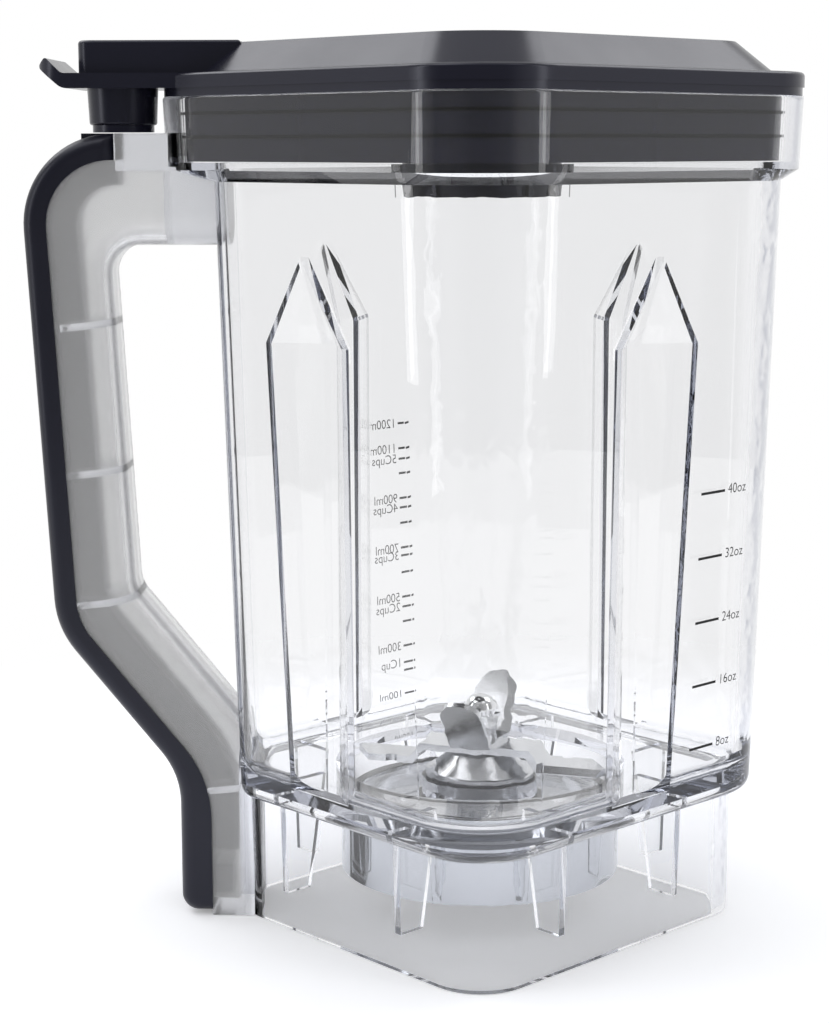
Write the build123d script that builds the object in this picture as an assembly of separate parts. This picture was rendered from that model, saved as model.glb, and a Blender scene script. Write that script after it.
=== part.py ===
from build123d import *
import os
from math import atan, cos, degrees, hypot, radians, sin, sqrt, tan

# Square blender jar: clear moulding with its handle, spinning blade unit, lift-off lid and filler cap.
# Millimetres. The jar's axis is Z, its skirt stands on z = 0, the square section's corners lie on X and Y,
# and the handle is at the -X corner.

# Walls and clearances
WALL = 3.0
PART_GAP = 0.3
RUNNING_GAP = 0.05
RING_GAP = 0.1
EMBED = 1.2
OVERCUT = 1.0
CORNER_SLIVER = 0.1
SAME_PLACE = 0.001

# Skirt
SKIRT_HEIGHT = 36.8
SKIRT_HALF_BOTTOM = 55.9
SKIRT_HALF_TOP = 57.2
SKIRT_RADIUS_BOTTOM = 15.0
SKIRT_RADIUS_TOP = 18.8
SKIRT_FLAT_STEP = 1.9
FLAT_RADIUS = 9.0

# Body
BODY_HEIGHT = 174.6
BODY_HALF_BOTTOM = 61.9
BODY_HALF_TOP = 67.9
BODY_RADIUS_BOTTOM = 21.6
BODY_RADIUS_TOP = 30.4
BODY_FLAT_BOTTOM = 68.4
BODY_FLAT_TOP = 73.0
SHELF_RADIUS = 4.0
FLOOR_RISE = 7.0
FLOOR_THICK = 4.2
FLOOR_FILLET = 6.0

# Collar that takes the lid
COLLAR_STEP = 2.7
COLLAR_RADIUS = 25.5
COLLAR_HEIGHT = 23.0
COLLAR_DRAFT = 0.75
FLARE_HEIGHT = 3.0
LEDGE_HEIGHT = 5.1
RIM_FILLET = 0.8

# Flutes pressed into the four faces, measured down from the collar
FLUTE_DEPTH_BOTTOM = 4.8
FLUTE_DEPTH_TOP = 9.0
FLUTE_FLOOR_HALF = 2.9
FLUTE_HALF_BOTTOM = 11.8
FLUTE_HALF_TOP = 15.3
FLUTE_SHOULDER_DROP = 42.5
FLUTE_APEX_DROP = 20.5
FLUTE_APEX_HALF = 0.7

# Dish, pedestal and ring boss of the floor
DISH_DEPTH = 9.5
DISH_TOP_RADIUS = 41.0
DISH_SLOPE = 3.5
DISH_FLOOR = 3.4
PEDESTAL_RADIUS = 15.6
PEDESTAL_HEIGHT = 5.0
BOSS_SET_BACK = 3.2
BOSS_WALL = 2.2
BOSS_LENGTH = 16.9

# Fins inside the skirt
FIN_OFFSET = 23.5
FIN_THICK = 2.2
FIN_DEPTH_TOP = 13.0
FIN_DEPTH_BOTTOM = 8.0
FIN_BOTTOM = 10.0

# Handle
GRIP_DROP = 9.95
GRIP_STAND = 12.0
GRIP_REACH = 39.6
GRIP_WIDTH = 28.0
GRIP_UPRIGHT_LEAN = 3.03
GRIP_KNEE_Z = 41.6
GRIP_SLOPE = 38.9
GRIP_LEG_DEPTH = 18.35
GRIP_TOP_RADIUS = 25.4
GRIP_ELBOW_RADIUS = 26.0
GRIP_KNEE_RADIUS = 24.0
COVER_TOP = 7.3
COVER_UPRIGHT = 6.9
COVER_SLOPE = 6.8
COVER_LEG = 9.25
COVER_OVERHANG = 0.6
COVER_FILLET = 4.0
COVER_FOOT_RADIUS = 5.0
COVER_FOOT_GAP = 0.8
COVER_LAND_LENGTH = 9.8
COVER_LAND_WIDTH = 18.0
COVER_LAND_HEIGHT = 2.6
COVER_WEB = 10.0
COVER_WEB_DEPTH = 7.0
CORE_ARM = 30.85
CORE_UPRIGHT = 23.0
CORE_SLOPE = 24.2
CORE_WALL = 2.8
CORE_ARM_RADIUS = 8.0
CORE_ELBOW_RADIUS = 9.0
CORE_FILLET = 9.0
CORE_END_WALL = 1.7
CORE_ROOF = 3.0
RIB_THICK = 2.0
RIB_TILT = 6.0
RIB_DROPS = (52.7, 94.6, 132.3, 187.0)
LEG_FLOOR = 4.6
MAGNET_LENGTH = 5.0
MAGNET_WIDTH = 14.0
MAGNET_HEIGHT = 9.0
MAGNET_CLEAR = 3.6

# Metal ring round the floor's boss
RING_WALL = 1.6
RING_LIP = 1.0
RING_LIP_WIDTH = 3.4

# Bearing housing and what clamps it
GASKET_THICK = 0.8
HOUSING_FLANGE_RADIUS = 14.7
HOUSING_FLANGE = 1.0
HOUSING_CONE_RADIUS = 13.2
HOUSING_TOP_RADIUS = 8.6
HOUSING_CONE_HEIGHT = 5.4
HOUSING_BARREL_RADIUS = 11.0
HOUSING_BARREL_LIP = 1.7
HOUSING_HOLE_GAP = 0.15
HOUSING_LIP = 1.6
WASHER_RADIUS = 17.0
WASHER_THICK = 0.8
NUT_ACROSS = 30.0
NUT_HEIGHT = 6.0

# Bearings and shaft seal
BEARING_RADIUS = 8.0
BEARING_WIDTH = 5.0
BEARING_SHOULDER = 1.2
BEARING_SHIELD = 1.0
RACE_GAP = 0.3
RACE_WALL = 1.6
SPACER_LENGTH = 8.5
SPACER_RADIUS = 5.6
SEAL_HEIGHT = 3.4
SEAL_RADIUS = 7.0
SEAL_LIP = 1.2
CIRCLIP_THICK = 1.0
CIRCLIP_DEPTH = 0.7
CIRCLIP_WIDTH = 2.0
CIRCLIP_SLOT = 5.0

# Shaft and drive spline
SHAFT_RADIUS = 4.0
SHAFT_RISE = 0.6
STUD_RADIUS = 3.0
SPLINE_RADIUS = 6.6
SPLINE_ROOT = 5.4
SPLINE_TEETH = 12
SPLINE_BOTTOM = 3.5
SPLINE_LENGTH = 13.0
SPLINE_HUB_RADIUS = 8.4
SPLINE_HUB_HEIGHT = 2.0
SPLINE_NECK_RADIUS = 5.4
SPLINE_CAP = 4.5

# Blades and the stack that clamps them
BLADE_AZIMUTH = 164.0
UPPER_BLADE_AZIMUTH = 74.0
LOWER_BLADE_THICK = 2.0
LOWER_BLADE_WIDTH = 13.0
LOWER_BLADE_TIP_GAP = 4.0
LOWER_BLADE_BEND = 14.0
LOWER_BLADE_DROP = 4.4
LOWER_BLADE_DROP_RUN = 3.6
LOWER_BLADE_NOTCH = 24.0
LOWER_BLADE_NOTCH_RADIUS = 1.7
UPPER_BLADE_THICK = 1.6
UPPER_BLADE_WIDTH = 11.0
UPPER_BLADE_BEND = 9.0
UPPER_BLADE_ANGLE = 50.0
UPPER_BLADE_LENGTH = 20.7
BLADE_EDGE = 0.35
BLADE_BEVEL = 3.0
COLLAR_SLEEVE_RADIUS = 4.7
COLLAR_SLEEVE_HEIGHT = 2.6
LOCK_WASHER_RADIUS = 5.3
LOCK_WASHER_HEIGHT = 1.0
LOCK_WASHER_GAP = 1.0
DOME_NUT_ACROSS = 9.0
DOME_NUT_HEX = 3.4
DOME_RADIUS = 4.4

# Lid
FLANGE_THICK = 6.3
FLANGE_LINE = 2.2
FLANGE_STEP = 0.5
FLANGE_FILLET = 1.2
CROWN_SET_BACK = 7.1
CROWN_SLOPE = 8.0
CROWN_RADIUS_BOTTOM = 22.0
CROWN_RADIUS_TOP = 20.0
CROWN_HEIGHT = 8.3
LID_WALL = 2.6
LID_TOP_WALL = 2.8
TUBE_RADIUS = 21.3
TUBE_WALL = 2.7
TUBE_DROP = 27.4
TUBE_SLOTS = 12
TUBE_SLOT_WIDTH = 3.0
TUBE_SLOT_HEIGHT = 7.0
GASKET_WIDTH = 3.0
GASKET_SET_BACK = 1.0
GASKET_LIP = 0.7
GASKET_LIP_DROPS = (4.6, 11.0)

# Lug over the handle
SPINE_ROOT = 4.2
SPINE_STAND = 21.9
SPINE_WIDTH = 26.0
SPINE_RISE = 0.6
SPINE_FILLET = 4.0
SPINE_TOP_FILLET = 1.0
LUG_ROOT = 8.0
LUG_WIDTH = 32.0
LUG_STAND = 25.7
LUG_TAB = 7.3
LUG_TIP_RISE = 5.9
LUG_TIP_THICK = 2.6
LUG_CORNER = 8.0
LUG_BOSS_STAND = 11.3
LUG_BOSS_RADIUS = 9.9
LUG_BOSS_DRAFT = 0.5
LUG_BOSS_FILLET = 0.8
LUG_FOOT_RADIUS = 8.6
LUG_FOOT_HEIGHT = 1.95

# Filler cap
CAP_OVERLAP = 4.7
CAP_THICK = 2.2
CAP_DIMPLE_RADIUS = 15.0
CAP_DIMPLE_DEPTH = 1.2
CAP_WALL = 2.0
CAP_PLUG_GAP = 0.6
CAP_SET_BACK = 2.1
CAP_SEAL_DROP = 6.0
CAP_SEAL_HEIGHT = 2.4

# Heights that follow from those above
FLOOR_TOP = SKIRT_HEIGHT + FLOOR_RISE
BODY_TOP = SKIRT_HEIGHT + BODY_HEIGHT
COLLAR_BOTTOM = BODY_TOP + FLARE_HEIGHT
LEDGE_TOP = BODY_TOP + LEDGE_HEIGHT
RIM_TOP = BODY_TOP + COLLAR_HEIGHT
FLUTE_SHOULDER = BODY_TOP - FLUTE_SHOULDER_DROP
FLUTE_APEX = BODY_TOP - FLUTE_APEX_DROP
DISH_BOTTOM = FLOOR_TOP - DISH_DEPTH
DISH_UNDERSIDE = DISH_BOTTOM - DISH_FLOOR
BOSS_BOTTOM = DISH_UNDERSIDE - BOSS_LENGTH
PEDESTAL_TOP = DISH_BOTTOM + PEDESTAL_HEIGHT
FLANGE_BOTTOM = PEDESTAL_TOP + GASKET_THICK
CONE_BOTTOM = FLANGE_BOTTOM + HOUSING_FLANGE
HOUSING_TOP = CONE_BOTTOM + HOUSING_CONE_HEIGHT
SEAL_TOP = HOUSING_TOP - HOUSING_LIP
SEAL_BOTTOM = SEAL_TOP - SEAL_HEIGHT
UPPER_BEARING = SEAL_BOTTOM - BEARING_WIDTH
LOWER_BEARING = UPPER_BEARING - SPACER_LENGTH - BEARING_WIDTH
CIRCLIP_BOTTOM = LOWER_BEARING - CIRCLIP_THICK
BARREL_BOTTOM = CIRCLIP_BOTTOM - HOUSING_BARREL_LIP
BLADE_SEAT = HOUSING_TOP + SHAFT_RISE
UPPER_BLADE_SEAT = BLADE_SEAT + LOWER_BLADE_THICK
SLEEVE_SEAT = UPPER_BLADE_SEAT + UPPER_BLADE_THICK
LOCK_WASHER_SEAT = SLEEVE_SEAT + COLLAR_SLEEVE_HEIGHT
NUT_SEAT = LOCK_WASHER_SEAT + LOCK_WASHER_HEIGHT
NUT_TOP = NUT_SEAT + DOME_NUT_HEX
SPLINE_TOP = SPLINE_BOTTOM + SPLINE_LENGTH
GRIP_TOP = RIM_TOP - GRIP_DROP
FLANGE_TOP = RIM_TOP + FLANGE_THICK
LID_TOP = FLANGE_TOP + CROWN_HEIGHT
SPINE_TOP = LID_TOP + SPINE_RISE
LUG_BOTTOM = RIM_TOP + FLANGE_LINE
LUG_THICK = FLANGE_THICK - FLANGE_LINE
LUG_BOSS_BOTTOM = GRIP_TOP + PART_GAP + LUG_FOOT_HEIGHT
PLUG_BOTTOM = LEDGE_TOP + PART_GAP
TUBE_BOTTOM = RIM_TOP - TUBE_DROP
CAP_BOTTOM = TUBE_BOTTOM + CAP_SET_BACK
CAP_SEAL_BOTTOM = LID_TOP - CAP_SEAL_DROP
RIB_HEIGHTS = [GRIP_TOP - drop for drop in RIB_DROPS]

# Widths that follow from those above; an inner corner's radius is the outer one's less the corner inset
CORNER_INSET = WALL / 3
SKIRT_FLAT = BODY_FLAT_BOTTOM - SKIRT_FLAT_STEP
COLLAR_HALF = BODY_HALF_TOP + COLLAR_STEP
COLLAR_REACH = COLLAR_HALF * sqrt(2) - COLLAR_RADIUS * (sqrt(2) - 1)
POCKET_RADIUS = COLLAR_RADIUS - CORNER_INSET
LEDGE_HALF = COLLAR_HALF - COLLAR_DRAFT * (RIM_TOP - LEDGE_TOP) / COLLAR_HEIGHT - WALL
GASKET_HALF = LEDGE_HALF - GASKET_SET_BACK
GASKET_RADIUS = POCKET_RADIUS - GASKET_SET_BACK
PLUG_HALF = GASKET_HALF - GASKET_WIDTH
PLUG_RADIUS = GASKET_RADIUS - GASKET_WIDTH
DISH_RADIUS = DISH_TOP_RADIUS - DISH_SLOPE
BOSS_RADIUS = DISH_TOP_RADIUS - BOSS_SET_BACK
LOWER_BLADE_TIP = DISH_TOP_RADIUS - LOWER_BLADE_TIP_GAP
GRIP_END = COLLAR_REACH + GRIP_STAND
GRIP_UPRIGHT_X = COLLAR_REACH + GRIP_REACH
GRIP_LEG_X = BODY_FLAT_BOTTOM + GRIP_LEG_DEPTH
CORE_BLOCK_END = COLLAR_REACH - WALL
CORE_ARM_END = CORE_BLOCK_END + CORE_END_WALL
CROWN_HALF_BOTTOM = COLLAR_HALF - CROWN_SET_BACK
CROWN_HALF_TOP = CROWN_HALF_BOTTOM - CROWN_SLOPE
SPINE_END = COLLAR_REACH + SPINE_STAND
LUG_BEND = COLLAR_REACH + LUG_STAND
LUG_TIP = LUG_BEND + LUG_TAB
LUG_BOSS_X = COLLAR_REACH + LUG_BOSS_STAND
TUBE_BORE = TUBE_RADIUS - TUBE_WALL
CAP_RADIUS = TUBE_RADIUS + CAP_OVERLAP
CAP_PLUG_RADIUS = TUBE_BORE - CAP_PLUG_GAP
FLOOR_HOLE = HOUSING_BARREL_RADIUS + HOUSING_HOLE_GAP

# Runs and corners of the handle's line, from the top end round to the foot
GRIP_RADII = [GRIP_TOP_RADIUS, GRIP_ELBOW_RADIUS, GRIP_KNEE_RADIUS]
SEAM_DEPTHS = [COVER_TOP, COVER_UPRIGHT, COVER_SLOPE, COVER_LEG]
SEAM_RADII = [GRIP_TOP_RADIUS - COVER_TOP, GRIP_ELBOW_RADIUS - COVER_UPRIGHT, GRIP_KNEE_RADIUS + COVER_LEG]


def rounded_square(half, radius, z):
    """Rounded square at height z, with its corners on X and Y."""
    return Pos(0, 0, z) * Rot(0, 0, 45) * RectangleRounded(2 * half, 2 * half, radius)


def corner_reach(half, radius):
    """How far a rounded square's corner lies from the axis."""
    return half * sqrt(2) - radius * (sqrt(2) - 1)


def flat_square(half, radius, flat, flat_radius, z):
    """Rounded square at height z whose -X corner is cut off flat at x = -flat."""
    reach = half * sqrt(2)
    side = reach - flat
    corners = [(reach, 0), (0, reach), (-flat, side), (-flat, -side), (0, -reach)]
    radii = [radius, radius, flat_radius, flat_radius, radius]
    return Pos(0, 0, z) * make_face(FilletPolyline(*corners, radius=radii, close=True))


def body_at(z):
    """The body's half-width, corner radius and flat distance at height z."""
    share = (z - SKIRT_HEIGHT) / BODY_HEIGHT
    half = BODY_HALF_BOTTOM + share * (BODY_HALF_TOP - BODY_HALF_BOTTOM)
    radius = BODY_RADIUS_BOTTOM + share * (BODY_RADIUS_TOP - BODY_RADIUS_BOTTOM)
    flat = BODY_FLAT_BOTTOM + share * (BODY_FLAT_TOP - BODY_FLAT_BOTTOM)
    return half, radius, flat


def body_section(z, inset=0.0, corner_inset=0.0):
    """Section of the body at height z, moved in from the outer face by inset."""
    half, radius, flat = body_at(z)
    return flat_square(half - inset, radius - corner_inset, flat - inset, FLAT_RADIUS - corner_inset, z)


def skirt_section(z, inset=0.0, corner_inset=0.0):
    """Section of the skirt at height z, moved in from the outer face by inset."""
    share = z / SKIRT_HEIGHT
    half = SKIRT_HALF_BOTTOM + share * (SKIRT_HALF_TOP - SKIRT_HALF_BOTTOM)
    radius = SKIRT_RADIUS_BOTTOM + share * (SKIRT_RADIUS_TOP - SKIRT_RADIUS_BOTTOM)
    flat = SKIRT_FLAT - inset
    return flat_square(half - inset, radius - corner_inset, flat, FLAT_RADIUS - corner_inset, z)


def collar_half(z):
    """The collar's half-width at height z; it widens a little towards its rim."""
    return COLLAR_HALF - COLLAR_DRAFT * (RIM_TOP - z) / COLLAR_HEIGHT


def collar_section(z):
    """Section of the collar, built with the same edges as the body's so that the two can be lofted."""
    half = collar_half(z)
    flat = corner_reach(half, COLLAR_RADIUS) - CORNER_SLIVER
    return flat_square(half, COLLAR_RADIUS, flat, COLLAR_RADIUS, z)


def pocket_section(z, gap=0.0):
    """Section of the collar's inside at height z, made smaller all round by gap."""
    return rounded_square(collar_half(z) - WALL - gap, POCKET_RADIUS - gap, z)


def ring(outer, inner, bottom, top):
    """Round ring about Z."""
    return Pos(0, 0, bottom) * extrude(Circle(outer) - Circle(inner), top - bottom)


def rod(radius, bottom, top):
    """Round bar about Z."""
    return Pos(0, 0, bottom) * extrude(Circle(radius), top - bottom)


def turned(points):
    """Solid of revolution about Z from (radius, height) points."""
    return revolve(make_face(Polyline(*[(r, 0, z) for r, z in points], close=True)), Axis.Z)


def hexagon(across, bottom, top):
    """Hexagonal prism about Z, given across its flats."""
    return Pos(0, 0, bottom) * extrude(RegularPolygon(across / 2, 6, major_radius=False), top - bottom)


def line_meet(start_a, end_a, start_b, end_b):
    """Point where two lines cross."""
    ax, ay = end_a[0] - start_a[0], end_a[1] - start_a[1]
    bx, by = end_b[0] - start_b[0], end_b[1] - start_b[1]
    share = ((start_b[0] - start_a[0]) * by - (start_b[1] - start_a[1]) * bx) / (ax * by - ay * bx)
    return (start_a[0] + share * ax, start_a[1] + share * ay)


def offset_path(points, depths):
    """Path moved to its left, each run by its own depth, with mitred corners."""
    runs = []
    for (x0, y0), (x1, y1), depth in zip(points, points[1:], depths):
        length = hypot(x1 - x0, y1 - y0)
        dx, dy = -(y1 - y0) / length * depth, (x1 - x0) / length * depth
        runs.append(((x0 + dx, y0 + dy), (x1 + dx, y1 + dy)))
    corners = [line_meet(*a, *b) for a, b in zip(runs, runs[1:])]
    return [runs[0][0], *corners, runs[-1][1]]


def side_plate(points, radii, width):
    """Closed outline in the XZ plane, rounded at its corners, extruded to both sides of y = 0."""
    outline = make_face(FilletPolyline(*points, radius=radii, close=True))
    return extrude(Plane.XZ * outline, width / 2, both=True)


def grip_path():
    """Outer line of the handle in the XZ plane, from the top end round to the foot."""
    top = (-GRIP_UPRIGHT_X, GRIP_TOP)
    knee = (-GRIP_LEG_X, GRIP_KNEE_Z)
    upright_foot = (top[0] + GRIP_TOP * tan(radians(GRIP_UPRIGHT_LEAN)), 0)
    slope_foot = (knee[0] + GRIP_KNEE_Z * tan(radians(GRIP_SLOPE)), 0)
    elbow = line_meet(top, upright_foot, knee, slope_foot)
    return [(-GRIP_END, GRIP_TOP), top, elbow, knee, (-GRIP_LEG_X, 0)]


def seam_path(inset=0.0):
    """Line where the cover meets the core, or a line parallel to it further in."""
    return offset_path(grip_path(), [depth + inset for depth in SEAM_DEPTHS])


def finger_path(inset=0.0):
    """Finger side of the core: arm, upright and slope, moved towards the seam by inset."""
    depths = [CORE_ARM - inset, CORE_UPRIGHT - inset, CORE_SLOPE - inset]
    return offset_path(grip_path()[:4], depths)


def line_at_x(start, end, x):
    """Point of a line at a given x."""
    return line_meet(start, end, (x, 0), (x, 1))


def rib_plates(thick, width):
    """Cross ribs of the handle's channel, as plates long enough to cross it."""
    path = grip_path()
    plates = []
    for height in RIB_HEIGHTS:
        x = -GRIP_LEG_X if height < path[3][1] else path[2][0]
        length = 2 * CORE_UPRIGHT
        middle = x + length / 2 + COVER_UPRIGHT / 2
        plates.append(Pos(middle, 0, height + length / 2 * tan(radians(RIB_TILT)) / 2)
                      * Rot(0, -RIB_TILT, 0) * Box(length, width, thick))
    return plates


def finger_edges(plate, half_width, path, radii):
    """Edges on the two sides of a handle plate that follow a line of its outline."""
    line = FilletPolyline(*path, radius=radii)
    picked = []
    for edge in plate.edges():
        middle = edge @ 0.5
        on_side = abs(abs(middle.Y) - half_width) < SAME_PLACE
        if on_side and line.distance_to(Vertex(middle.X, middle.Z, 0)) < SAME_PLACE:
            picked.append(edge)
    return picked


def handle_core():
    """Channel-section core: outer block less the channel that opens towards the cover."""
    seam = seam_path()
    finger = finger_path()
    inside = -SKIRT_FLAT + EMBED
    upper_inside = -BODY_FLAT_TOP + EMBED
    slope_end = line_at_x(finger[2], finger[3], inside)
    finger_line = [slope_end, finger[2], finger[1], (upper_inside, finger[0][1])]
    finger_radii = [CORE_ELBOW_RADIUS, CORE_ARM_RADIUS]
    points = [(-CORE_BLOCK_END, GRIP_TOP), (-GRIP_END, GRIP_TOP), *seam, (inside, 0), *finger_line,
              (upper_inside, LEDGE_TOP - EMBED), (-CORE_BLOCK_END, LEDGE_TOP - EMBED)]
    radii = [0, 0, 0, *SEAM_RADII, 0, 0, 0, *finger_radii, 0, 0, 0]
    block = side_plate(points, radii, GRIP_WIDTH)
    block = fillet(finger_edges(block, GRIP_WIDTH / 2, finger_line, finger_radii), CORE_FILLET)
    return block - handle_channel()


def handle_channel():
    """Hollow of the handle core, with the cross ribs left standing."""
    seam = seam_path(-OVERCUT)
    finger = finger_path(CORE_WALL)
    leg_inside = -BODY_FLAT_BOTTOM - EMBED
    roof = GRIP_TOP - COVER_TOP - CORE_ROOF
    slope_end = line_at_x(finger[2], finger[3], leg_inside)
    finger_line = [slope_end, finger[2], finger[1], (-CORE_ARM_END, finger[0][1])]
    finger_radii = [CORE_ELBOW_RADIUS + CORE_WALL, CORE_ARM_RADIUS + CORE_WALL]
    points = [(-CORE_ARM_END, roof), (-GRIP_END, roof), (-GRIP_END, seam[0][1]), *seam[1:4],
              (seam[4][0], LEG_FLOOR), (leg_inside, LEG_FLOOR), *finger_line]
    radii = [0, 0, 0, *SEAM_RADII, 0, 0, 0, *finger_radii, 0]
    half_width = GRIP_WIDTH / 2 - CORE_WALL
    channel = side_plate(points, radii, 2 * half_width)
    channel = fillet(finger_edges(channel, half_width, finger_line, finger_radii), CORE_FILLET - CORE_WALL)
    for plate in rib_plates(RIB_THICK, GRIP_WIDTH):
        channel -= plate
    return channel


def flute(inset, bottom):
    """Wedge of one flute on the +X face; inset moves it in to shape the wall's inner side."""
    slope = (FLUTE_HALF_TOP - FLUTE_FLOOR_HALF) / FLUTE_DEPTH_TOP
    spread = inset * tan(atan(1 / slope) / 2)
    rise = spread * (FLUTE_APEX - FLUTE_SHOULDER) / FLUTE_HALF_TOP

    def section(z, half_width, floor_half, depth):
        face = body_at(z)[0] - inset
        wall_slope = (half_width - floor_half) / depth if depth else slope
        outer = half_width + spread + OVERCUT * wall_slope
        inner = floor_half + spread
        rim = face + OVERCUT
        floor = face - depth
        corners = [(rim, -outer), (floor, -inner), (floor, inner), (rim, outer)]
        return Pos(0, 0, z) * make_face(Polyline(*corners, close=True))

    share = (bottom - SKIRT_HEIGHT) / (FLUTE_SHOULDER - SKIRT_HEIGHT)
    low_half = FLUTE_HALF_BOTTOM + share * (FLUTE_HALF_TOP - FLUTE_HALF_BOTTOM)
    low_depth = FLUTE_DEPTH_BOTTOM + share * (FLUTE_DEPTH_TOP - FLUTE_DEPTH_BOTTOM)
    return loft([section(bottom, low_half, FLUTE_FLOOR_HALF, low_depth),
                 section(FLUTE_SHOULDER, FLUTE_HALF_TOP, FLUTE_FLOOR_HALF, FLUTE_DEPTH_TOP),
                 section(FLUTE_APEX + rise, FLUTE_APEX_HALF, FLUTE_APEX_HALF, 0)], ruled=True)


def on_faces(shape):
    """Copies of a shape made on the +X face, one on each face of the square."""
    return [Rot(0, 0, 45 + 90 * index) * shape for index in range(4)]


def fin(offset):
    """One stiffening fin under the floor, against the +X face of the skirt."""
    wall = SKIRT_HALF_BOTTOM - WALL
    top = FLOOR_TOP - FLOOR_THICK
    inner = wall - FIN_DEPTH_TOP
    corners = [(wall + EMBED, top + EMBED), (inner, top + EMBED), (inner, top),
               (wall - FIN_DEPTH_BOTTOM, FIN_BOTTOM), (wall + EMBED, FIN_BOTTOM)]
    outline = make_face(Polyline(*corners, close=True))
    return Pos(0, offset, 0) * extrude(Plane.XZ * outline, FIN_THICK / 2, both=True)


def jar_body():
    """The whole clear moulding."""
    body = loft([body_section(SKIRT_HEIGHT), body_section(BODY_TOP)], ruled=True)
    body = fillet(body.edges().group_by(Axis.Z)[0], SHELF_RADIUS)
    flare = loft([body_section(BODY_TOP), collar_section(COLLAR_BOTTOM)], ruled=True)
    collar = loft([rounded_square(collar_half(COLLAR_BOTTOM), COLLAR_RADIUS, COLLAR_BOTTOM),
                   rounded_square(COLLAR_HALF, COLLAR_RADIUS, RIM_TOP)], ruled=True)
    collar = fillet(collar.edges().group_by(Axis.Z)[-1], RIM_FILLET)
    for groove in on_faces(flute(0, FLOOR_TOP + OVERCUT)):
        body -= groove
    skirt = loft([skirt_section(0), skirt_section(SKIRT_HEIGHT + EMBED)], ruled=True)
    shell = body + flare + collar + skirt + handle_core()

    cavity = loft([body_section(FLOOR_TOP, WALL, CORNER_INSET),
                   body_section(LEDGE_TOP + OVERCUT, WALL, CORNER_INSET)], ruled=True)
    cavity = fillet(cavity.edges().group_by(Axis.Z)[0], FLOOR_FILLET)
    for ridge in on_faces(flute(WALL, FLOOR_TOP - OVERCUT)):
        cavity -= ridge
    pocket = loft([pocket_section(LEDGE_TOP), pocket_section(RIM_TOP + OVERCUT)], ruled=True)
    under = loft([skirt_section(-OVERCUT, WALL, CORNER_INSET),
                  skirt_section(FLOOR_TOP - FLOOR_THICK, WALL, CORNER_INSET)], ruled=True)
    shell = shell - cavity - pocket - under

    floor_boss = turned([(0, DISH_UNDERSIDE), (DISH_TOP_RADIUS, DISH_UNDERSIDE),
                         (DISH_TOP_RADIUS, FLOOR_TOP - EMBED), (0, FLOOR_TOP - EMBED)])
    tube = ring(BOSS_RADIUS, BOSS_RADIUS - BOSS_WALL, BOSS_BOTTOM, DISH_UNDERSIDE + EMBED)
    dish = turned([(PEDESTAL_RADIUS, DISH_BOTTOM), (DISH_RADIUS, DISH_BOTTOM), (DISH_TOP_RADIUS, FLOOR_TOP),
                   (DISH_TOP_RADIUS, FLOOR_TOP + OVERCUT), (0, FLOOR_TOP + OVERCUT), (0, PEDESTAL_TOP),
                   (PEDESTAL_RADIUS, PEDESTAL_TOP)])
    shell = shell + floor_boss + tube
    for offset in (-FIN_OFFSET, FIN_OFFSET):
        for plate in on_faces(fin(offset)):
            shell += plate
    return shell - dish - rod(FLOOR_HOLE, DISH_UNDERSIDE - OVERCUT, PEDESTAL_TOP + OVERCUT)


def handle_cover():
    """Grip strip over the open side of the core, with a web that reaches into the channel."""
    path = grip_path()
    seam = seam_path()
    points = [*path[:4], (path[4][0], COVER_FOOT_GAP), (seam[4][0], COVER_FOOT_GAP), *seam[3::-1]]
    radii = [0, *GRIP_RADII, COVER_FOOT_RADIUS, 0, *SEAM_RADII[::-1], 0]
    strip = side_plate(points, radii, GRIP_WIDTH + 2 * COVER_OVERHANG)
    width = GRIP_WIDTH / 2 + COVER_OVERHANG
    outer_line = FilletPolyline(*path, radius=GRIP_RADII)
    outer_middles = [edge.center() for edge in outer_line.edges()]
    soft = []
    for edge in strip.edges():
        middle = edge.center()
        on_side = abs(abs(middle.Y) - width) < SAME_PLACE
        near = [m for m in outer_middles if hypot(m.X - middle.X, m.Y - middle.Z) < COVER_FOOT_RADIUS]
        foot = hypot(middle.X + GRIP_LEG_X, middle.Z - COVER_FOOT_GAP) < COVER_FOOT_RADIUS
        if on_side and (near or foot):
            soft.append(edge)
    strip = fillet(soft, COVER_FILLET)
    land_x = -GRIP_END - COVER_LAND_LENGTH / 2
    strip += Pos(land_x, 0, GRIP_TOP - COVER_LAND_HEIGHT / 2) * Box(COVER_LAND_LENGTH, COVER_LAND_WIDTH,
                                                                     COVER_LAND_HEIGHT)
    return strip + cover_web()


def cover_web():
    """Web along the inside of the cover, notched over the ribs."""
    near = seam_path(-EMBED)
    far = seam_path(COVER_WEB_DEPTH)
    start = -GRIP_END - PART_GAP
    foot = LEG_FLOOR + MAGNET_HEIGHT + MAGNET_CLEAR
    points = [(start, near[0][1]), *near[1:4], (near[4][0], foot), (far[4][0], foot), *far[3:0:-1],
              (start, far[0][1])]
    top, elbow, knee = SEAM_RADII
    inner_radii = [knee + COVER_WEB_DEPTH, elbow - COVER_WEB_DEPTH, top - COVER_WEB_DEPTH]
    radii = [0, *SEAM_RADII, 0, 0, *inner_radii, 0]
    web = side_plate(points, radii, COVER_WEB)
    for plate in rib_plates(RIB_THICK + 2 * PART_GAP, COVER_WEB + 2 * OVERCUT):
        web -= plate & side_plate(*channel_outline(), COVER_WEB + 2 * OVERCUT)
    return web


def channel_outline():
    """Outline of the channel's inside as points and radii, from the seam to the finger wall."""
    seam = seam_path()
    leg_inside = -BODY_FLAT_BOTTOM
    points = [(-CORE_ARM_END, seam[0][1]), seam[1], seam[2], seam[3], (seam[4][0], 0), (leg_inside, 0),
              (leg_inside, GRIP_TOP)]
    return points, [0, *SEAM_RADII, 0, 0, 0]


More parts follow.
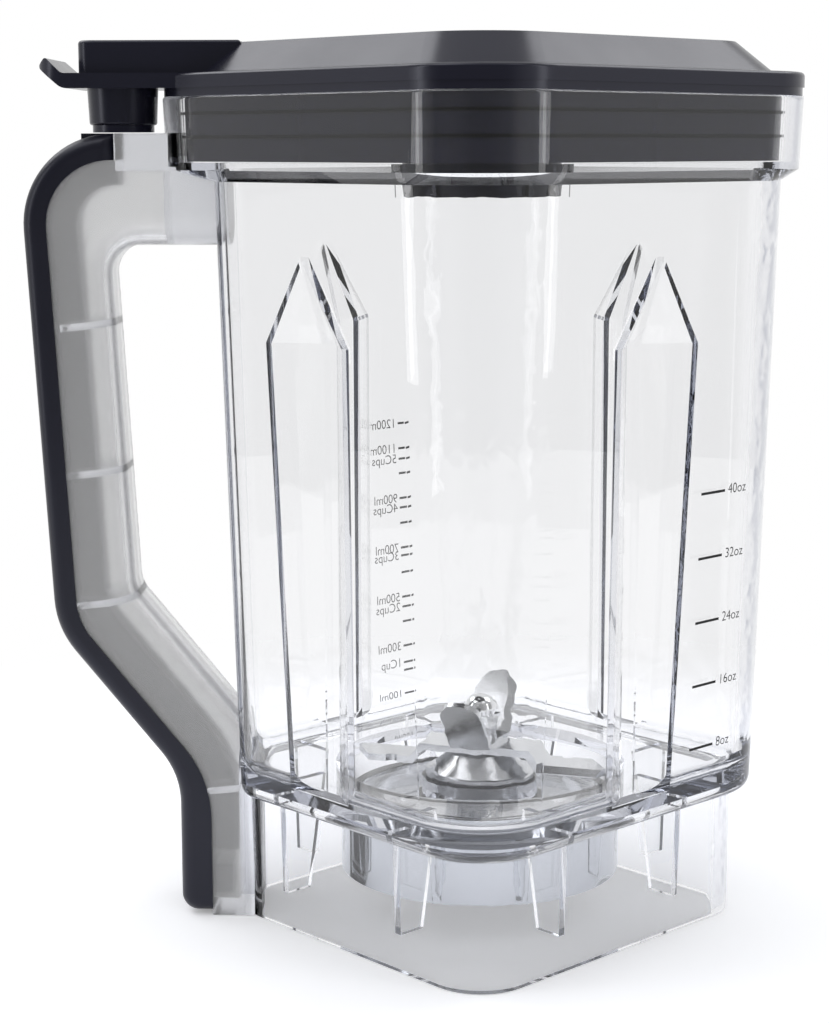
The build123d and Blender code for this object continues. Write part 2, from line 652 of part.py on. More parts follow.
def handle_magnet():
    """Block magnet that stands on the floor of the handle's leg, behind the cover."""
    back = -GRIP_LEG_X + COVER_LEG + PART_GAP
    return Pos(back + MAGNET_LENGTH / 2, 0, LEG_FLOOR + MAGNET_HEIGHT / 2) * Box(
        MAGNET_LENGTH, MAGNET_WIDTH, MAGNET_HEIGHT)


def base_ring():
    """Polished metal ring pushed over the boss under the floor, with a lip under the boss's end."""
    inner = BOSS_RADIUS + RING_GAP
    outer = inner + RING_WALL
    lip = inner - RING_LIP_WIDTH
    bottom = BOSS_BOTTOM - RING_LIP
    return turned([(lip, bottom), (outer, bottom), (outer, DISH_UNDERSIDE), (inner, DISH_UNDERSIDE),
                   (inner, BOSS_BOTTOM), (lip, BOSS_BOTTOM)])


def bearing_housing():
    """Steel housing: cone and flange over the pedestal, bored barrel through the floor."""
    groove = BEARING_RADIUS + CIRCLIP_DEPTH
    top_hole = SHAFT_RADIUS + RACE_GAP * 2
    return turned([(BEARING_RADIUS, BARREL_BOTTOM), (HOUSING_BARREL_RADIUS, BARREL_BOTTOM),
                   (HOUSING_BARREL_RADIUS, FLANGE_BOTTOM), (HOUSING_FLANGE_RADIUS, FLANGE_BOTTOM),
                   (HOUSING_FLANGE_RADIUS, CONE_BOTTOM), (HOUSING_CONE_RADIUS, CONE_BOTTOM),
                   (HOUSING_TOP_RADIUS, HOUSING_TOP), (top_hole, HOUSING_TOP), (top_hole, SEAL_TOP),
                   (SEAL_RADIUS, SEAL_TOP), (SEAL_RADIUS, SEAL_BOTTOM), (BEARING_RADIUS, SEAL_BOTTOM),
                   (BEARING_RADIUS, LOWER_BEARING), (groove, LOWER_BEARING), (groove, CIRCLIP_BOTTOM),
                   (BEARING_RADIUS, CIRCLIP_BOTTOM)])


def retaining_nut():
    """Hexagon nut that clamps the housing against the floor."""
    top = DISH_UNDERSIDE - WASHER_THICK
    return hexagon(NUT_ACROSS, top - NUT_HEIGHT, top) - rod(HOUSING_BARREL_RADIUS, top - NUT_HEIGHT, top)


def bearing_outer(bottom):
    """Outer race with its two shields."""
    shield = SHAFT_RADIUS + RACE_WALL + RACE_GAP
    bore = BEARING_RADIUS - BEARING_SHOULDER
    top = bottom + BEARING_WIDTH
    low, high = bottom + BEARING_SHIELD, top - BEARING_SHIELD
    return turned([(shield, bottom), (BEARING_RADIUS, bottom), (BEARING_RADIUS, top), (shield, top),
                   (shield, high), (bore, high), (bore, low), (shield, low)])


def bearing_inner(bottom):
    """Inner race on the shaft."""
    return ring(SHAFT_RADIUS + RACE_WALL, SHAFT_RADIUS, bottom, bottom + BEARING_WIDTH)


def shaft_seal():
    """Rubber lip seal round the shaft, over the upper bearing."""
    lip = SHAFT_RADIUS + RUNNING_GAP
    body = SHAFT_RADIUS + RACE_WALL
    lip_bottom = SEAL_TOP - SEAL_LIP
    return turned([(body, SEAL_BOTTOM), (SEAL_RADIUS, SEAL_BOTTOM), (SEAL_RADIUS, SEAL_TOP),
                   (lip, SEAL_TOP), (lip, lip_bottom), (body, lip_bottom)])


def bearing_circlip():
    """Open snap ring in the housing's groove under the lower bearing."""
    outer = BEARING_RADIUS + CIRCLIP_DEPTH
    circlip = ring(outer, outer - CIRCLIP_WIDTH, CIRCLIP_BOTTOM, CIRCLIP_BOTTOM + CIRCLIP_THICK)
    return circlip - Pos(outer, 0, CIRCLIP_BOTTOM) * Box(outer, CIRCLIP_SLOT, 4 * CIRCLIP_THICK)


def shaft():
    """Stepped shaft: bearing seat below, threaded stud's outer size above."""
    bottom = SPLINE_BOTTOM + SPLINE_CAP
    return turned([(0, bottom), (SHAFT_RADIUS, bottom), (SHAFT_RADIUS, BLADE_SEAT),
                   (STUD_RADIUS, BLADE_SEAT), (STUD_RADIUS, NUT_TOP), (0, NUT_TOP)])


def drive_spline():
    """Splined stub that goes into the motor's socket, with a neck up to the lower bearing."""
    tooth_angle = 360 / SPLINE_TEETH
    hub_top = SPLINE_TOP + SPLINE_HUB_HEIGHT
    core = turned([(0, SPLINE_BOTTOM), (SPLINE_ROOT, SPLINE_BOTTOM), (SPLINE_ROOT, SPLINE_TOP),
                   (SPLINE_HUB_RADIUS, SPLINE_TOP), (SPLINE_HUB_RADIUS, hub_top),
                   (SPLINE_NECK_RADIUS, hub_top), (SPLINE_NECK_RADIUS, LOWER_BEARING), (0, LOWER_BEARING)])
    width = SPLINE_ROOT * radians(tooth_angle)
    tooth = Pos(0, 0, SPLINE_BOTTOM) * extrude(make_face(Polyline(
        (SPLINE_ROOT - EMBED, -width * 0.3), (SPLINE_RADIUS, -width * 0.2), (SPLINE_RADIUS, width * 0.2),
        (SPLINE_ROOT - EMBED, width * 0.3), close=True)), SPLINE_LENGTH)
    for index in range(SPLINE_TEETH):
        core += Rot(0, 0, index * tooth_angle) * tooth
    return core - rod(SHAFT_RADIUS, SPLINE_BOTTOM + SPLINE_CAP, LOWER_BEARING + OVERCUT)


def blade(profile, thick, width, outline_cuts, azimuth):
    """Two-winged blade: a bent strip, cut and bevelled, with a copy turned by half a turn."""
    upper = offset_path(profile, [thick] * (len(profile) - 1))
    strip = side_plate([*profile, *upper[::-1]], 0, width)
    for cut in outline_cuts:
        strip -= cut
    pair = strip + Rot(0, 0, 180) * strip
    hole = rod(STUD_RADIUS, profile[0][1] - OVERCUT, profile[0][1] + thick + OVERCUT)
    return Rot(0, 0, azimuth) * (pair - hole)


def edge_bevel(start, end, angle, thick, side):
    """Wedge that sharpens one long edge of a wing lying in the plane through start and end."""
    length = hypot(end[0] - start[0], end[1] - start[1])
    spare = OVERCUT * thick / BLADE_BEVEL
    wedge = make_face(Polyline((0, BLADE_EDGE), (BLADE_BEVEL, thick + spare), (-OVERCUT, thick + OVERCUT),
                               (-OVERCUT, BLADE_EDGE - spare), close=True))
    solid = extrude(Plane.YZ * wedge, length)
    if side < 0:
        solid = mirror(solid, Plane.XZ)
    return Pos(start[0], 0, start[1]) * Rot(0, -angle, 0) * solid


def lower_blade():
    """Flat blade with its wings stepped down and a notch in each trailing edge."""
    low = BLADE_SEAT - LOWER_BLADE_DROP
    drop_end = LOWER_BLADE_BEND + LOWER_BLADE_DROP_RUN
    profile = [(0, BLADE_SEAT), (LOWER_BLADE_BEND, BLADE_SEAT), (drop_end, low), (LOWER_BLADE_TIP, low)]
    half = LOWER_BLADE_WIDTH / 2
    deep = LOWER_BLADE_DROP + LOWER_BLADE_THICK
    tip = Pos(0, 0, low - OVERCUT) * extrude(make_face(Polyline(
        (LOWER_BLADE_TIP + OVERCUT, -half - OVERCUT), (LOWER_BLADE_TIP + OVERCUT, half + OVERCUT),
        (LOWER_BLADE_TIP - half, half + OVERCUT), (LOWER_BLADE_TIP, -half * 0.4),
        (LOWER_BLADE_TIP - half * 0.3, -half), (LOWER_BLADE_TIP - half * 0.3, -half - OVERCUT),
        close=True)), deep)
    notch = Pos(LOWER_BLADE_NOTCH, half, low - OVERCUT) * extrude(Circle(LOWER_BLADE_NOTCH_RADIUS), deep)
    bevel = Pos(0, -half, 0) * edge_bevel((drop_end, low), (LOWER_BLADE_TIP + OVERCUT, low), 0,
                                          LOWER_BLADE_THICK, 1)
    return blade(profile, LOWER_BLADE_THICK, LOWER_BLADE_WIDTH, [tip, notch, bevel], BLADE_AZIMUTH)


def upper_blade():
    """Blade with both wings bent up, rounded at their tips."""
    run = UPPER_BLADE_LENGTH * cos(radians(UPPER_BLADE_ANGLE))
    rise = UPPER_BLADE_LENGTH * sin(radians(UPPER_BLADE_ANGLE))
    bend = (UPPER_BLADE_BEND, UPPER_BLADE_SEAT)
    end = (UPPER_BLADE_BEND + run, UPPER_BLADE_SEAT + rise)
    profile = [(0, UPPER_BLADE_SEAT), bend, end]
    half = UPPER_BLADE_WIDTH / 2
    corner = Pos(UPPER_BLADE_LENGTH - half, 0, -OVERCUT) * extrude(
        Pos(half, 0) * Rectangle(2 * half, 4 * half) - Ellipse(half, half), UPPER_BLADE_THICK + 2 * OVERCUT)
    tip = Pos(bend[0], 0, bend[1]) * Rot(0, -UPPER_BLADE_ANGLE, 0) * corner
    bevel = Pos(0, -half, 0) * edge_bevel(bend, end, UPPER_BLADE_ANGLE, UPPER_BLADE_THICK, 1)
    return blade(profile, UPPER_BLADE_THICK, UPPER_BLADE_WIDTH, [tip, bevel], UPPER_BLADE_AZIMUTH)


def lock_washer():
    """Split spring washer under the dome nut."""
    washer = ring(LOCK_WASHER_RADIUS, STUD_RADIUS, LOCK_WASHER_SEAT, NUT_SEAT)
    cut = Box(LOCK_WASHER_RADIUS, LOCK_WASHER_GAP, 3 * LOCK_WASHER_HEIGHT)
    return washer - Pos(LOCK_WASHER_RADIUS / 2 + STUD_RADIUS / 2, 0, LOCK_WASHER_SEAT) * cut


def dome_nut():
    """Acorn nut: hexagon with a domed, closed top."""
    dome = Pos(0, 0, NUT_TOP) * Sphere(DOME_RADIUS)
    top_half = Pos(0, 0, NUT_TOP + DOME_RADIUS) * Box(4 * DOME_RADIUS, 4 * DOME_RADIUS, 2 * DOME_RADIUS)
    neck = rod(DOME_RADIUS, NUT_TOP, NUT_TOP + DOME_RADIUS / 3)
    cap = (Pos(0, 0, DOME_RADIUS / 3) * dome & Pos(0, 0, DOME_RADIUS / 3) * top_half) + neck
    return hexagon(DOME_NUT_ACROSS, NUT_SEAT, NUT_TOP) + cap - rod(STUD_RADIUS, NUT_SEAT - OVERCUT, NUT_TOP)


def lid_lug():
    """Lug over the handle: plate with an upturned thumb tab, spine block above and boss below."""
    top = LUG_BOTTOM + LUG_THICK
    inner = -COLLAR_REACH + LUG_ROOT
    tip_z = LUG_BOTTOM + LUG_TIP_RISE
    plate = side_plate(
        [(inner, LUG_BOTTOM), (-LUG_BEND, LUG_BOTTOM), (-LUG_TIP, tip_z),
         (-LUG_TIP + LUG_TIP_THICK, tip_z + LUG_TIP_THICK), (-LUG_BEND, top), (inner, top)],
        [0, LUG_THICK, LUG_TIP_THICK / 3, LUG_TIP_THICK / 3, LUG_THICK / 2, 0], LUG_WIDTH)
    plan = Pos((inner - LUG_TIP) / 2, 0, LUG_BOTTOM) * extrude(
        RectangleRounded(LUG_TIP + inner, LUG_WIDTH, LUG_CORNER), 2 * LUG_TIP_RISE)
    middle_z = LUG_BOTTOM + LUG_THICK / 2
    inner_end = Pos(inner - LUG_CORNER, 0, middle_z) * Box(2 * LUG_CORNER, LUG_WIDTH, LUG_THICK)
    plate = (plate & plan) + (plate & inner_end)
    spine_start = corner_reach(CROWN_HALF_TOP, CROWN_RADIUS_TOP) - SPINE_ROOT
    length = SPINE_END - spine_start
    spine_height = SPINE_TOP - FLANGE_TOP
    spine = Pos(-SPINE_END + length / 2, 0, FLANGE_TOP + spine_height / 2) * Box(
        length, SPINE_WIDTH, spine_height)
    spine = fillet(spine.edges().group_by(Axis.X)[0].filter_by(Axis.Z), SPINE_FILLET)
    spine = fillet(spine.edges().group_by(Axis.Z)[-1], SPINE_TOP_FILLET)
    height = LUG_BOTTOM - LUG_BOSS_BOTTOM
    draft_angle = degrees(atan(LUG_BOSS_DRAFT / height))
    boss = Pos(-LUG_BOSS_X, 0, LUG_BOSS_BOTTOM) * extrude(
        Circle(LUG_BOSS_RADIUS - LUG_BOSS_DRAFT), height + EMBED, taper=-draft_angle)
    boss = fillet(boss.edges().group_by(Axis.Z)[0], LUG_BOSS_FILLET)
    return plate + spine + boss


def lid():
    """Lid moulding: stepped flange, low square crown, plug wall, filler tube and handle lug."""
    neck_radius = COLLAR_RADIUS - FLANGE_STEP
    neck = extrude(rounded_square(COLLAR_HALF - FLANGE_STEP, neck_radius, RIM_TOP), FLANGE_THICK / 2)
    flange = extrude(rounded_square(COLLAR_HALF, COLLAR_RADIUS, RIM_TOP + FLANGE_LINE),
                     FLANGE_THICK - FLANGE_LINE)
    flange = fillet(flange.edges().group_by(Axis.Z)[-1], FLANGE_FILLET)
    crown = loft([rounded_square(CROWN_HALF_BOTTOM, CROWN_RADIUS_BOTTOM, FLANGE_TOP),
                  rounded_square(CROWN_HALF_TOP, CROWN_RADIUS_TOP, LID_TOP)])
    crown += extrude(rounded_square(CROWN_HALF_BOTTOM, CROWN_RADIUS_BOTTOM, FLANGE_TOP - EMBED), EMBED)
    plug = extrude(rounded_square(PLUG_HALF, PLUG_RADIUS, PLUG_BOTTOM), RIM_TOP - PLUG_BOTTOM + EMBED)
    hollow = extrude(rounded_square(PLUG_HALF - LID_WALL, PLUG_RADIUS - LID_WALL, PLUG_BOTTOM - OVERCUT),
                     FLANGE_TOP - LID_TOP_WALL - PLUG_BOTTOM + OVERCUT)
    attic = loft([rounded_square(CROWN_HALF_BOTTOM - 2 * LID_WALL, CROWN_RADIUS_BOTTOM, RIM_TOP),
                  rounded_square(CROWN_HALF_TOP - LID_WALL, CROWN_RADIUS_TOP, LID_TOP - LID_TOP_WALL)])
    tube = rod(TUBE_RADIUS, TUBE_BOTTOM, LID_TOP - EMBED)
    slot = Pos(TUBE_RADIUS, 0, TUBE_BOTTOM) * Box(TUBE_WALL, TUBE_SLOT_WIDTH, 2 * TUBE_SLOT_HEIGHT)
    for index in range(TUBE_SLOTS):
        tube -= Rot(0, 0, index * 360 / TUBE_SLOTS) * slot
    shell = neck + flange + crown + plug - hollow - attic
    return shell + tube + lid_lug() - rod(TUBE_BORE, TUBE_BOTTOM - OVERCUT, SPINE_TOP + OVERCUT)


def lid_gasket():
    """Rubber seal round the plug, with two thin lips that face the collar."""
    height = RIM_TOP - PLUG_BOTTOM
    gasket = extrude(rounded_square(GASKET_HALF, GASKET_RADIUS, PLUG_BOTTOM), height)
    for drop in GASKET_LIP_DROPS:
        gasket += extrude(pocket_section(RIM_TOP - drop - GASKET_LIP / 2, PART_GAP), GASKET_LIP)
    return gasket - extrude(rounded_square(PLUG_HALF, PLUG_RADIUS, PLUG_BOTTOM), height)


def lug_foot():
    """Foot under the lug's boss, just clear of the handle's top."""
    return Pos(-LUG_BOSS_X, 0, GRIP_TOP + PART_GAP) * extrude(Circle(LUG_FOOT_RADIUS), LUG_FOOT_HEIGHT)


def filler_cap():
    """Cap in the lid's tube: dished flange on the lid, hollow plug with a groove for its seal."""
    plug = CAP_PLUG_RADIUS
    inside = plug - CAP_WALL
    seal_top = CAP_SEAL_BOTTOM + CAP_SEAL_HEIGHT
    groove = plug - CAP_WALL / 2
    top = LID_TOP + CAP_THICK
    dimple = top - CAP_DIMPLE_DEPTH
    ceiling = LID_TOP - CAP_WALL
    return turned([(inside, CAP_BOTTOM), (plug, CAP_BOTTOM), (plug, CAP_SEAL_BOTTOM),
                   (groove, CAP_SEAL_BOTTOM), (groove, seal_top), (plug, seal_top), (plug, LID_TOP),
                   (CAP_RADIUS, LID_TOP), (CAP_RADIUS, dimple), (CAP_RADIUS - CAP_DIMPLE_DEPTH, top),
                   (CAP_DIMPLE_RADIUS, top), (CAP_DIMPLE_RADIUS - CAP_DIMPLE_DEPTH, dimple), (0, dimple),
                   (0, ceiling), (inside, ceiling)])


def cap_seal():
    """Rubber ring in the cap's groove."""
    return ring(TUBE_BORE - PART_GAP, CAP_PLUG_RADIUS - CAP_WALL / 2, CAP_SEAL_BOTTOM,
                CAP_SEAL_BOTTOM + CAP_SEAL_HEIGHT)


PARTS = {
    "jar_body": jar_body(),
    "handle_cover": handle_cover(),
    "handle_magnet": handle_magnet(),
    "base_ring": base_ring(),
    "bearing_housing": bearing_housing(),
    "housing_gasket": ring(HOUSING_FLANGE_RADIUS, FLOOR_HOLE, PEDESTAL_TOP, FLANGE_BOTTOM),
    "floor_washer": ring(WASHER_RADIUS, FLOOR_HOLE, DISH_UNDERSIDE - WASHER_THICK, DISH_UNDERSIDE),
    "retaining_nut": retaining_nut(),
    "upper_bearing_outer": bearing_outer(UPPER_BEARING),
    "lower_bearing_outer": bearing_outer(LOWER_BEARING),
    "shaft_seal": shaft_seal(),
    "bearing_circlip": bearing_circlip(),
    "shaft": shaft(),
    "upper_bearing_inner": bearing_inner(UPPER_BEARING),
    "lower_bearing_inner": bearing_inner(LOWER_BEARING),
    "bearing_spacer": ring(SPACER_RADIUS, SHAFT_RADIUS, LOWER_BEARING + BEARING_WIDTH, UPPER_BEARING),
    "drive_spline": drive_spline(),
    "lower_blade": lower_blade(),
    "upper_blade": upper_blade(),
    "blade_collar": ring(COLLAR_SLEEVE_RADIUS, STUD_RADIUS, SLEEVE_SEAT, LOCK_WASHER_SEAT),
    "lock_washer": lock_washer(),
    "dome_nut": dome_nut(),
    "lid": lid(),
    "lid_gasket": lid_gasket(),
    "lug_foot": lug_foot(),
    "filler_cap": filler_cap(),
    "cap_seal": cap_seal(),
}

os.makedirs("parts", exist_ok=True)
for name, shape in PARTS.items():
    export_step(shape, f"parts/{name}.step")
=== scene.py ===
import math

import bpy
from mathutils import Matrix, Vector


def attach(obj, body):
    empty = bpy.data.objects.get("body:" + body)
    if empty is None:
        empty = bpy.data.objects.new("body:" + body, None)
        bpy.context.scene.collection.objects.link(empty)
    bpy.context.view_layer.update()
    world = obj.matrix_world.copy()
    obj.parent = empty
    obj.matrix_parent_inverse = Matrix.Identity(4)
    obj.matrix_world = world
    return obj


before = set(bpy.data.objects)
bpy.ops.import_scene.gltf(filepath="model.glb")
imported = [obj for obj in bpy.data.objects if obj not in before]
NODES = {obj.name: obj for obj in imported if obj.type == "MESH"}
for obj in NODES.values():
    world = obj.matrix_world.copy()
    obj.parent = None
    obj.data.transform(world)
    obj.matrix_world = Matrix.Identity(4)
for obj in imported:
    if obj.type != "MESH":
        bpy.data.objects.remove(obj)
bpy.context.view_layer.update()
MM = 0.001

# Jar body, its flat corner at the handle, the lips of the lid's gasket and the half height of the painted
# shade band at each lip, in millimetres
BODY_BOTTOM, BODY_TOP, COLLAR_BOTTOM = 36.8, 211.4, 214.4
HALF_BOTTOM, HALF_TOP = 61.9, 67.9
FLAT_BOTTOM, FLAT_TOP = 68.4, 73.0
FACE_LEAN = (HALF_TOP - HALF_BOTTOM) / (BODY_TOP - BODY_BOTTOM)
FLAT_LEAN = (FLAT_TOP - FLAT_BOTTOM) / (BODY_TOP - BODY_BOTTOM)
GASKET_LIPS, GASKET_LIP_SHADE_HALF = (229.8, 223.4), 0.45

# Fine grain and slow drift of the surfaces
GRAIN_DETAIL, GRAIN_ROUGHNESS = 4.0, 0.6
DRIFT_DETAIL, DRIFT_FROM, DRIFT_TO = 3.0, 0.3, 0.7

# Clear plastic, frosted on the handle's core from a margin past the body and the collar, in millimetres
PLASTIC_IOR = 1.5
PLASTIC_TINT, PLASTIC_DENSITY = (0.845, 0.852, 0.875, 1.0), 85.0
FROST_MARGIN, FROST_BLEND, FROST_COLLAR_REACH = 0.3, 1.0, 84.5
# Frost roughness; the frosted core is less see-through on faces that look along Y, painted light and shade
# between its sides
FROST_ROUGHNESS, FLANK_SHADE_CLEARNESS = 0.24, 0.78
FLANK_FROM, FLANK_TO = 0.3, 0.8

# Black mouldings, steel and ink, with the depth of the grain in metres
BLACK_IOR, BLACK_GLOSS_TINT = 1.45, (0.86, 0.88, 1.0, 1.0)
BLACK_DRIFT_SCALE, BLACK_GRAIN_STRENGTH = 40.0, 0.25
# Painted shade in a band at each of the gasket's lips: near-black colour and full roughness
LIP_SHADE_COLOUR, LIP_SHADE_ROUGHNESS = (0.001, 0.001, 0.001, 1.0), 1.0
STEEL_DRIFT_SCALE, STEEL_GRAIN_STRENGTH, STEEL_GRAIN_DEPTH = 300.0, 0.15, 0.00003
INK_COLOUR, INK_IOR, INK_DRIFT_SCALE = (0.006, 0.006, 0.007, 1.0), 1.4, 900.0
INK_ROUGHNESS = (0.5, 0.7)

# Ounce marks on the front right face, in millimetres and degrees
OUNCE_FACE, OUNCE_START, OUNCE_STEP = -45, 54.9, 18.1
OUNCE_COUNT, OUNCES_PER_MARK = 5, 8
OUNCE_BAR_PLACE, OUNCE_BAR_LENGTH, OUNCE_BAR_THICK = 19.7, 10.2, 0.75
OUNCE_TEXT_PLACE, OUNCE_TEXT_SIZE, OUNCE_TEXT_RISE = 31.2, 4.0, 0.2

# Millilitre and cup marks on the back left face
LITRE_FACE, LITRE_START, LITRE_STEP = 135, 47.0, 7.95
LITRE_FIRST, LITRE_UNIT = 100, 100
LITRE_BAR_PLACE, LITRE_BAR_LENGTH, LITRE_BAR_THICK = -34.2, 5.8, 0.7
LITRE_TEXT_PLACE, LITRE_TEXT_SIZE = -27.6, 4.1
LITRE_NAMED, LITRE_PLAIN = (100, 300, 500, 700, 900, 1100, 1200), (200, 400, 600, 800, 1000)
CUPS = {1: 232, 2: 460, 3: 668, 4: 862, 5: 1058}

# Lift of the print off its face and thinning of its letters, in millimetres
INK_LIFT, LETTER_THINNING = 0.04, 0.02

# World and floor, in metres
WHITE, WORLD_LIGHT = (1.0, 1.0, 1.0, 1.0), 0.75
FLOOR_RADIUS, FLOOR_SIDES, FLOOR_DROP = 0.8, 96, 0.0002
FLOOR_FADE_START, FLOOR_FADE_END = 0.15, 0.36
FLOOR_COLOUR, FLOOR_LIFT = (0.89, 0.90, 0.935, 1.0), 0.25

# Where the lamps aim, and each lamp's name, place, width, height and watts
AIM = (0.0, 0.0, 0.16)
LAMPS = (
    ("top_box", (-0.6, -0.25, 1.35), 0.75, 0.75, 3.0),
    ("right_top_box", (0.6, -0.5, 1.35), 0.3, 0.3, 0.4),
    ("left_back_box", (-0.85, 0.52, 1.13), 0.7, 0.7, 4.0),
    ("right_back_box", (0.85, 0.52, 1.13), 0.7, 0.7, 4.0),
    ("left_strip", (-1.1, -0.35, 0.45), 0.2, 1.0, 1.5),
    ("right_strip", (1.1, -0.45, 0.45), 0.2, 1.0, 1.5))

# Grey levels of the studio in reflections, outside glass and through it, over each part of a direction
STUDIO_WALLS = {
    "X": ((-1.0, 0.75), (-0.93, 0.6), (-0.8, 0.08), (0.45, 0.05), (0.75, 0.6), (1.0, 0.7)),
    "Y": ((-1.0, 0.16), (0.10, 0.08), (0.40, 0.75), (0.7, 0.8), (0.9, 1.0), (1.0, 1.0)),
    "Z": ((-1.0, 0.0), (0.70, 0.05), (0.88, 0.8), (1.0, 0.9))}
STUDIO_THROUGH_GLASS = {
    "X": ((-1.0, 0.25), (-0.9, 0.35), (-0.6, 0.4), (0.0, 0.15), (0.6, 0.4), (0.9, 0.35), (1.0, 0.3)),
    "Y": ((-1.0, 0.22), (-0.8, 0.22), (0.10, 0.25), (0.40, 0.95), (1.0, 1.0)),
    "Z": ((-1.0, 0.3), (0.60, 0.15), (0.85, 0.7), (1.0, 0.8))}

# Camera at the photograph's view: metres, radians, and the focal length in the photograph's pixels
CAMERA_PLACE = (-0.001395, -0.62102, 0.22099)
CAMERA_YAW, CAMERA_PITCH, CAMERA_ROLL = -0.0284, 0.1661, -0.0017
FOCAL_PIXELS, IMAGE_HEIGHT, SENSOR = 2186.0, 1024.0, 36.0
CLIP_START, CLIP_END = 0.01, 50.0
LIGHT_BOUNCES = 48


# Node helpers

def new_material(name):
    """Material with an empty node tree and its output."""
    material = bpy.data.materials.new(name)
    material.use_nodes = True
    material.node_tree.nodes.clear()
    output = material.node_tree.nodes.new("ShaderNodeOutputMaterial")
    return material, material.node_tree, output


def add(tree, kind, **settings):
    """New node with its properties and unlinked inputs set."""
    node = tree.nodes.new(kind)
    inputs = settings.pop("inputs", {})
    for key, value in settings.items():
        setattr(node, key, value)
    for key, value in inputs.items():
        node.inputs[key].default_value = value
    return node


def link(tree, source, target):
    """Link from an output to an input."""
    tree.links.new(source, target)


def noise_bump(tree, shader, scale, strength, distance):
    """Fine surface texture through the normal of a shader."""
    coords = add(tree, "ShaderNodeTexCoord")
    noise = add(tree, "ShaderNodeTexNoise", inputs={
        "Scale": scale, "Detail": GRAIN_DETAIL, "Roughness": GRAIN_ROUGHNESS})
    bump = add(tree, "ShaderNodeBump", inputs={"Strength": strength, "Distance": distance})
    link(tree, coords.outputs["Object"], noise.inputs["Vector"])
    link(tree, noise.outputs["Fac"], bump.inputs["Height"])
    link(tree, bump.outputs["Normal"], shader.inputs["Normal"])


def varied_roughness(tree, shader, scale, low, high):
    """Roughness that drifts a little over the surface."""
    coords = add(tree, "ShaderNodeTexCoord")
    noise = add(tree, "ShaderNodeTexNoise", inputs={"Scale": scale, "Detail": DRIFT_DETAIL})
    drift = add(tree, "ShaderNodeMapRange", inputs={
        "From Min": DRIFT_FROM, "From Max": DRIFT_TO, "To Min": low, "To Max": high})
    link(tree, coords.outputs["Object"], noise.inputs["Vector"])
    link(tree, noise.outputs["Fac"], drift.inputs["Value"])
    link(tree, drift.outputs["Result"], shader.inputs["Roughness"])


def larger_of(tree, first, *others):
    """Largest of several values."""
    for other in others:
        larger = add(tree, "ShaderNodeMath", operation="MAXIMUM")
        link(tree, first, larger.inputs[0])
        link(tree, other, larger.inputs[1])
        first = larger.outputs[0]
    return first


def between(tree, factor, low, high):
    """Value from low to high as a factor goes from 0 to 1."""
    node = add(tree, "ShaderNodeMapRange", inputs={"To Min": low, "To Max": high})
    link(tree, factor, node.inputs["Value"])
    return node.outputs["Result"]


def mixed(tree, factor, first, second):
    """Mix of two shaders."""
    mix = add(tree, "ShaderNodeMixShader")
    link(tree, factor, mix.inputs["Fac"])
    link(tree, first, mix.inputs[1])
    link(tree, second, mix.inputs[2])
    return mix.outputs[0]


def seen_ray(tree, path):
    """1 for rays that show a surface: from the camera, in reflections and through glass."""
    kinds = [path.outputs[f"Is {kind} Ray"] for kind in ("Camera", "Glossy", "Transmission")]
    return larger_of(tree, *kinds)


# Materials

def frost_factor(tree):
    """1 on the handle's core, past the body's flat corner and the collar, 0 on the body and its collar."""
    coords = add(tree, "ShaderNodeTexCoord")
    outwards = add(tree, "ShaderNodeVectorMath", operation="DOT_PRODUCT", inputs={
        1: (-1.0, 0.0, -FLAT_LEAN)})
    split = add(tree, "ShaderNodeSeparateXYZ")
    collar = add(tree, "ShaderNodeMapRange", inputs={
        "From Min": BODY_TOP * MM, "From Max": COLLAR_BOTTOM * MM,
        "To Max": (FROST_COLLAR_REACH - FLAT_TOP) * MM})
    beyond = add(tree, "ShaderNodeMath", operation="SUBTRACT")
    start = (FLAT_BOTTOM - FLAT_LEAN * BODY_BOTTOM + FROST_MARGIN) * MM
    factor = add(tree, "ShaderNodeMapRange", inputs={
        "From Min": start, "From Max": start + FROST_BLEND * MM})
    link(tree, coords.outputs["Object"], outwards.inputs[0])
    link(tree, coords.outputs["Object"], split.inputs["Vector"])
    link(tree, split.outputs["Z"], collar.inputs["Value"])
    link(tree, outwards.outputs["Value"], beyond.inputs[0])
    link(tree, collar.outputs["Result"], beyond.inputs[1])
    link(tree, beyond.outputs[0], factor.inputs["Value"])
    return factor.outputs["Result"]


def flank_shade_factor(tree):
    """1 on faces that look along Y, 0 on faces that look along X or Z: where the frosted core gets its
    painted difference in brightness.
    """
    coords = add(tree, "ShaderNodeTexCoord")
    split = add(tree, "ShaderNodeSeparateXYZ")
    size = add(tree, "ShaderNodeMath", operation="ABSOLUTE")
    factor = add(tree, "ShaderNodeMapRange", inputs={"From Min": FLANK_FROM, "From Max": FLANK_TO})
    link(tree, coords.outputs["Normal"], split.inputs["Vector"])
    link(tree, split.outputs["Y"], size.inputs[0])
    link(tree, size.outputs[0], factor.inputs["Value"])
    return factor.outputs["Result"]


